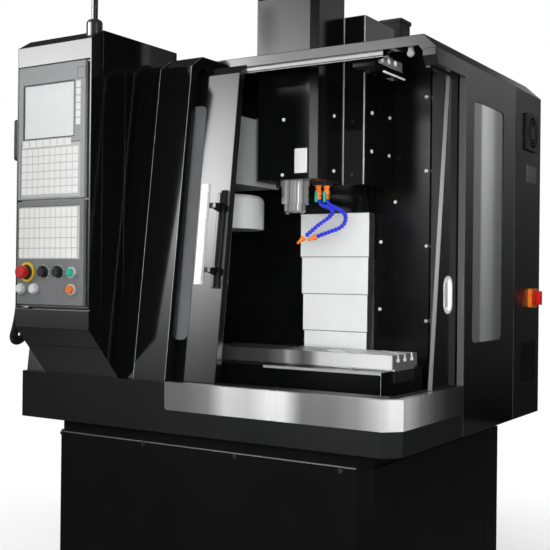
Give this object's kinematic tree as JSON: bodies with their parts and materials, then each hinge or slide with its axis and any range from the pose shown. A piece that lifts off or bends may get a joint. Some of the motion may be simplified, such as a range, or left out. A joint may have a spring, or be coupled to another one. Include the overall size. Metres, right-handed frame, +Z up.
{
  "type": "cnc milling machine",
  "caption": "Compact enclosed vertical machining centre on a sheet stand, with sliding doors, control cabinet, moving table, spindle head and tool drum.",
  "frame": {"origin": "centre of the stand's footprint, on the floor", "axes": "+X to the machine's right as seen from the operator, +Y to its rear, +Z up"},
  "size_m": [1.4083, 1.346, 2.144],
  "materials": {
    "dark_paint": "glossy black lacquer",
    "black_paint": "satin black enamel",
    "stainless": "brushed stainless sheet",
    "pale_paint": "smooth pale grey enamel",
    "bright_steel": "ground bright steel",
    "cast_iron": "machined and painted casting",
    "dark_glass": "tinted safety glass",
    "screen": "pale display cover",
    "grey_plastic": "moulded pale grey",
    "black_plastic": "moulded black",
    "red_plastic": "moulded red",
    "green_plastic": "moulded green",
    "orange_plastic": "moulded orange",
    "white_plastic": "moulded white",
    "blue_plastic": "moulded blue segments",
    "cord_rubber": "black coiled cord"
  },
  "bodies": {
    "machine": {"base_cabinet": "black_paint", "base_front_cover": "black_paint", "chip_pan": "black_paint", "sill_trim": "stainless", "front_cheek_panel": "dark_paint", "enclosure_shell": "dark_paint", "back_wall": "dark_paint", "roof_hood": "dark_paint", "right_side_panel": "dark_paint", "side_window": "dark_glass", "rear_side_panel": "dark_paint", "fan_guard": "black_plastic", "switch_plate": "orange_plastic", "bed_casting": "cast_iron", "axis_motors": "grey_plastic", "column": "cast_iron", "z_cover_base": "pale_paint", "magazine_cover": "dark_paint", "work_light": "white_plastic", "control_frame": "dark_paint", "control_cabinet": "dark_paint", "display_bezel": "grey_plastic", "display_screen": "screen", "operator_panel": "grey_plastic", "signal_tower": "white_plastic", "pendant_body": "black_plastic", "pendant_cord": "cord_rubber", "cord_gland": "black_plastic"},
    "door": {"front_door": "dark_paint", "front_door_window": "dark_glass", "handle_bar": "stainless"},
    "side_leaf": {"side_door": "dark_paint", "side_door_pull": "stainless"},
    "saddle": {"saddle": "dark_paint", "x_motor": "black_plastic"},
    "x_drive": {"x_screw": "bright_steel"},
    "y_drive": {"y_screw": "bright_steel"},
    "z_drive": {"z_screw": "bright_steel"},
    "table": {"table": "bright_steel"},
    "head": {"head_casting": "dark_paint", "head_cover": "dark_paint", "spindle_cartridge": "bright_steel", "z_cover_top": "pale_paint", "coolant_hoses": "blue_plastic"},
    "spindle": {"spindle_nose": "bright_steel"},
    "cover_upper": {"z_cover_upper": "pale_paint"},
    "cover_lower": {"z_cover_lower": "pale_paint"},
    "valve_left": {"coolant_lever_left": "green_plastic"},
    "valve_right": {"coolant_lever_right": "green_plastic"},
    "drum": {"tool_drum": "pale_paint"},
    "estop": {"estop_button": "red_plastic"},
    "feed": {"feed_knob": "black_plastic"},
    "speed": {"speed_knob": "black_plastic"},
    "start": {"start_button": "green_plastic"},
    "hold": {"hold_button": "orange_plastic"},
    "power_on": {"power_on_button": "white_plastic"},
    "power_off": {"power_off_button": "white_plastic"},
    "isolator": {"main_switch_handle": "red_plastic"},
    "fan": {"fan_rotor": "black_plastic"},
    "wheel": {"pendant_wheel": "black_plastic"}
  },
  "joints": [
    {"name": "front_door_slide", "type": "slide", "parent": "machine", "child": "door", "axis": [1, 0, 0], "range_m": [0, 0.579]},
    {"name": "side_door_slide", "type": "slide", "parent": "machine", "child": "side_leaf", "axis": [0, -1, 0], "range_m": [0, 0.232]},
    {"name": "saddle_slide", "type": "slide", "parent": "machine", "child": "saddle", "axis": [0, 1, 0], "range_m": [-0.13, 0.06]},
    {"name": "table_slide", "type": "slide", "parent": "saddle", "child": "table", "axis": [1, 0, 0], "range_m": [-0.25, 0.105]},
    {"name": "head_slide", "type": "slide", "parent": "machine", "child": "head", "axis": [0, 0, 1], "range_m": [-0.3, 0]},
    {"name": "cover_upper_slide", "type": "slide", "parent": "machine", "child": "cover_upper", "axis": [0, 0, 1], "range_m": [-0.21, 0.005]},
    {"name": "cover_lower_slide", "type": "slide", "parent": "machine", "child": "cover_lower", "axis": [0, 0, 1], "range_m": [-0.11, 0.005]},
    {"name": "spindle_spin", "type": "hinge", "parent": "head", "child": "spindle", "pos_m": [0.085, -0.071, 1.34], "axis": [0, 0, 1], "continuous": true},
    {"name": "x_screw_spin", "type": "hinge", "parent": "saddle", "child": "x_drive", "pos_m": [0.085, -0.05, 0.756], "axis": [1, 0, 0], "continuous": true},
    {"name": "y_screw_spin", "type": "hinge", "parent": "machine", "child": "y_drive", "pos_m": [0.085, -0.041, 0.682], "axis": [0, 1, 0], "continuous": true},
    {"name": "z_screw_spin", "type": "hinge", "parent": "machine", "child": "z_drive", "pos_m": [0.085, 0.307, 1.24], "axis": [0, 0, 1], "continuous": true},
    {"name": "drum_spin", "type": "hinge", "parent": "machine", "child": "drum", "pos_m": [-0.214, -0.111, 1.34], "axis": [0, 0, 1], "continuous": true},
    {"name": "valve_left_turn", "type": "hinge", "parent": "head", "child": "valve_left", "pos_m": [0.136, -0.005, 1.395], "axis": [0, -1, 0], "range_deg": [0, 90]},
    {"name": "valve_right_turn", "type": "hinge", "parent": "head", "child": "valve_right", "pos_m": [0.156, 0.015, 1.395], "axis": [0, -1, 0], "range_deg": [0, 90]},
    {"name": "estop_press", "type": "slide", "parent": "machine", "child": "estop", "axis": [0, 1, 0], "range_m": [0, 0.006], "stiffness_N_per_m": 400},
    {"name": "start_press", "type": "slide", "parent": "machine", "child": "start", "axis": [0, 1, 0], "range_m": [0, 0.004], "stiffness_N_per_m": 400},
    {"name": "hold_press", "type": "slide", "parent": "machine", "child": "hold", "axis": [0, 1, 0], "range_m": [0, 0.004], "stiffness_N_per_m": 400},
    {"name": "power_on_press", "type": "slide", "parent": "machine", "child": "power_on", "axis": [0, 1, 0], "range_m": [0, 0.004], "stiffness_N_per_m": 400},
    {"name": "power_off_press", "type": "slide", "parent": "machine", "child": "power_off", "axis": [0, 1, 0], "range_m": [0, 0.004], "stiffness_N_per_m": 400},
    {"name": "feed_turn", "type": "hinge", "parent": "machine", "child": "feed", "pos_m": [-0.453, -0.676, 1.118], "axis": [0, -1, 0], "range_deg": [-135, 135]},
    {"name": "speed_turn", "type": "hinge", "parent": "machine", "child": "speed", "pos_m": [-0.39, -0.676, 1.118], "axis": [0, -1, 0], "range_deg": [-135, 135]},
    {"name": "isolator_turn", "type": "hinge", "parent": "machine", "child": "isolator", "pos_m": [0.685, 0.542, 1.047], "axis": [1, 0, 0], "range_deg": [0, 90]},
    {"name": "fan_spin", "type": "hinge", "parent": "machine", "child": "fan", "pos_m": [0.665, 0.524, 1.623], "axis": [1, 0, 0], "continuous": true},
    {"name": "wheel_turn", "type": "hinge", "parent": "machine", "child": "wheel", "pos_m": [-0.615, -0.622, 1.555], "axis": [1, 0, 0], "continuous": true}
  ],
  "couplings": [
    {"joint": "cover_upper_slide", "follows": "head_slide", "ratio": 0.66667},
    {"joint": "cover_lower_slide", "follows": "head_slide", "ratio": 0.33333},
    {"joint": "x_screw_spin", "follows": "table_slide", "rad_per_m": 628.32},
    {"joint": "y_screw_spin", "follows": "saddle_slide", "rad_per_m": 628.32},
    {"joint": "z_screw_spin", "follows": "head_slide", "rad_per_m": 628.32}
  ]
}
